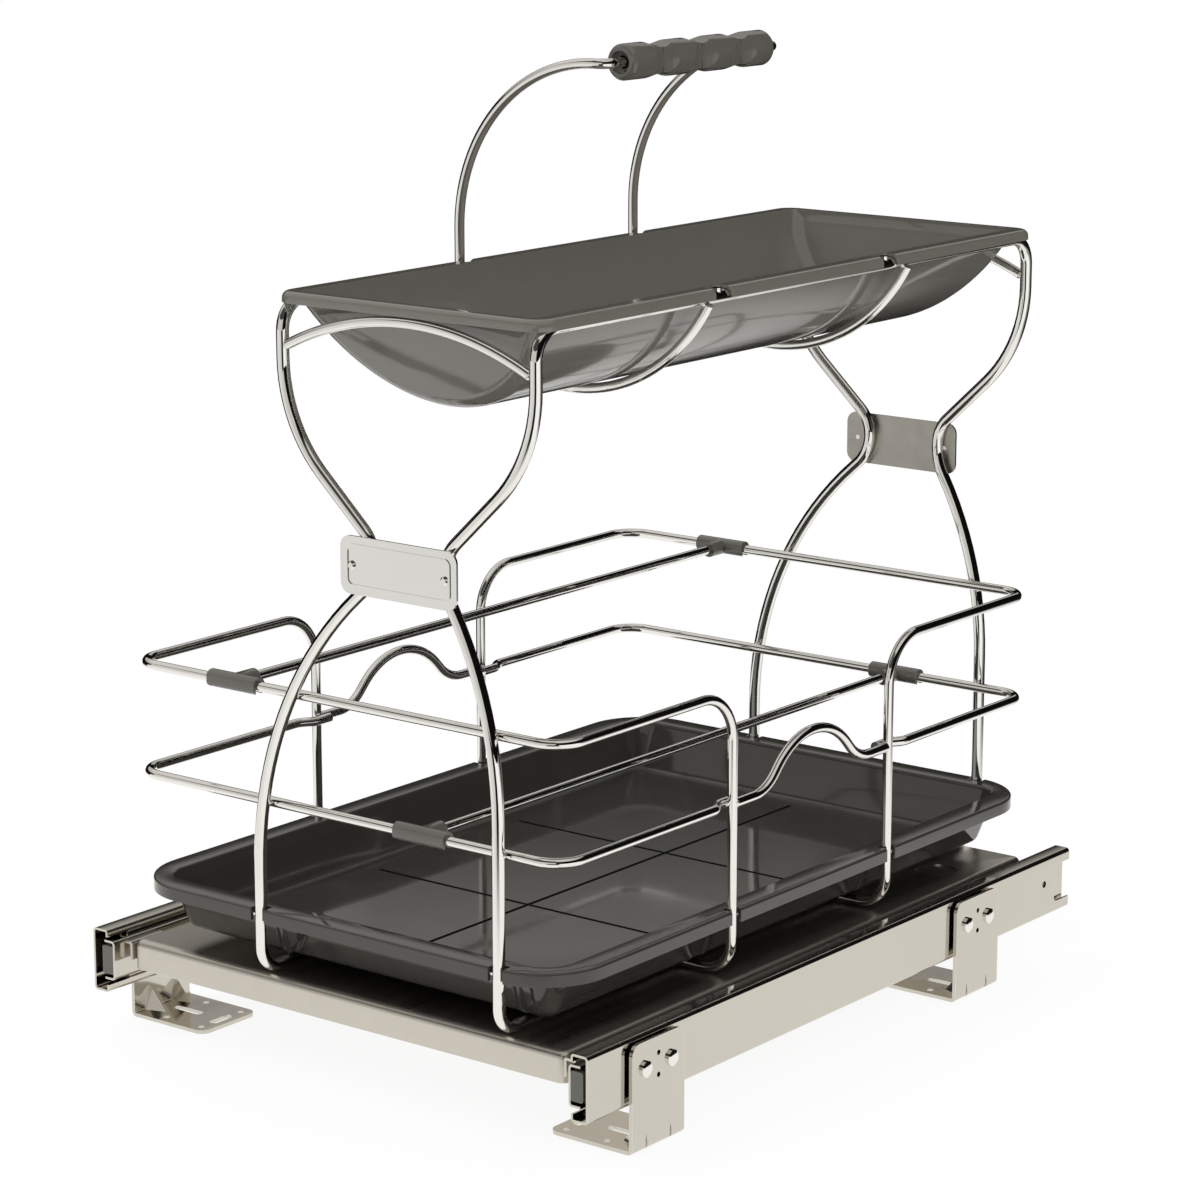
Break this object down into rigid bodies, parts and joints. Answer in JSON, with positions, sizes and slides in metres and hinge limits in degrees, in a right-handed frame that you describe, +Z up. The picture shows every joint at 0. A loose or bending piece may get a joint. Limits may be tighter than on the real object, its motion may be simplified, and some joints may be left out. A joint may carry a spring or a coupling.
{
  "type": "pull_out_caddy",
  "caption": "Pull-out caddy for an under-sink cupboard: wire basket with lift-out top bin and tray, bow handle and sliding dividers, on a platform with side slides and floor brackets.",
  "frame": {"origin": "on the floor under the middle of the slides, at the middle of the whole object's width and depth", "axes": "+X to the right seen from the front, +Y to the back, +Z up; the platform pulls out along -Y"},
  "size_m": [0.3488, 0.45, 0.5314],
  "materials": {
    "satin_nickel": "satin champagne nickel plate",
    "bright_pins": "bright plated",
    "chrome_wire": "polished chrome plate",
    "plate_metal": "satin",
    "bin_plastic": "fine matt",
    "tray_plastic": "fine matt",
    "grip_plastic": "satin moulded"
  },
  "bodies": {
    "base": {"bracket_front_right": "satin_nickel", "bracket_front_left": "satin_nickel", "bracket_rear_right": "satin_nickel", "bracket_rear_left": "satin_nickel", "bracket_screws": "bright_pins", "bracket_spacers": "satin_nickel", "slide_outer_right": "satin_nickel", "slide_outer_left": "satin_nickel"},
    "mid_right": {"slide_middle_right": "satin_nickel"},
    "mid_left": {"slide_middle_left": "satin_nickel"},
    "platform": {"slide_inner_right": "satin_nickel", "slide_inner_left": "satin_nickel", "bumper_right": "grip_plastic", "bumper_left": "grip_plastic", "platform": "satin_nickel", "runner_spacers": "satin_nickel", "platform_rivets": "bright_pins"},
    "caddy": {"side_frame_left": "chrome_wire", "side_frame_right": "chrome_wire", "basket_hoop_front": "chrome_wire", "basket_hoop_rear": "chrome_wire", "lower_hoop_front": "chrome_wire", "lower_hoop_rear": "chrome_wire", "wave_left": "chrome_wire", "wave_right": "chrome_wire", "tray_ring": "chrome_wire", "arch_front": "chrome_wire", "arch_rear": "chrome_wire", "cradle_front": "chrome_wire", "cradle_rear": "chrome_wire", "handle_wire": "chrome_wire", "handle_grip": "grip_plastic", "rail_stubs": "chrome_wire", "plate_front": "plate_metal", "plate_rear": "plate_metal", "plate_rivets": "bright_pins"},
    "bin": {"top_bin": "bin_plastic"},
    "tray": {"lower_tray": "tray_plastic"},
    "divider_upper": {"divider_upper_wire": "chrome_wire", "divider_upper_clip_front": "grip_plastic", "divider_upper_clip_rear": "grip_plastic"},
    "divider_lower": {"divider_lower_wire": "chrome_wire", "divider_lower_clip_front": "grip_plastic", "divider_lower_clip_rear": "grip_plastic"}
  },
  "joints": [
    {"name": "platform_run", "type": "slide", "parent": "base", "child": "platform", "axis": [0, -1, 0], "range_m": [0, 0.4]},
    {"name": "mid_right_run", "type": "slide", "parent": "base", "child": "mid_right", "axis": [0, -1, 0], "range_m": [0, 0.2]},
    {"name": "mid_left_run", "type": "slide", "parent": "base", "child": "mid_left", "axis": [0, -1, 0], "range_m": [0, 0.2]},
    {"name": "caddy_lift", "type": "slide", "parent": "platform", "child": "caddy", "axis": [0, 0, 1], "range_m": [0, 0.25]},
    {"name": "bin_lift", "type": "slide", "parent": "caddy", "child": "bin", "axis": [0, 0, 1], "range_m": [0, 0.03]},
    {"name": "tray_lift", "type": "slide", "parent": "caddy", "child": "tray", "axis": [0, 0, 1], "range_m": [0, 0.03]},
    {"name": "divider_upper_shift", "type": "slide", "parent": "caddy", "child": "divider_upper", "axis": [1, 0, 0], "range_m": [-0.036, 0]},
    {"name": "divider_lower_shift", "type": "slide", "parent": "caddy", "child": "divider_lower", "axis": [1, 0, 0], "range_m": [-0.081, 0.033]}
  ],
  "couplings": [
    {"joint": "mid_right_run", "follows": "platform_run", "ratio": 0.5},
    {"joint": "mid_left_run", "follows": "platform_run", "ratio": 0.5}
  ]
}
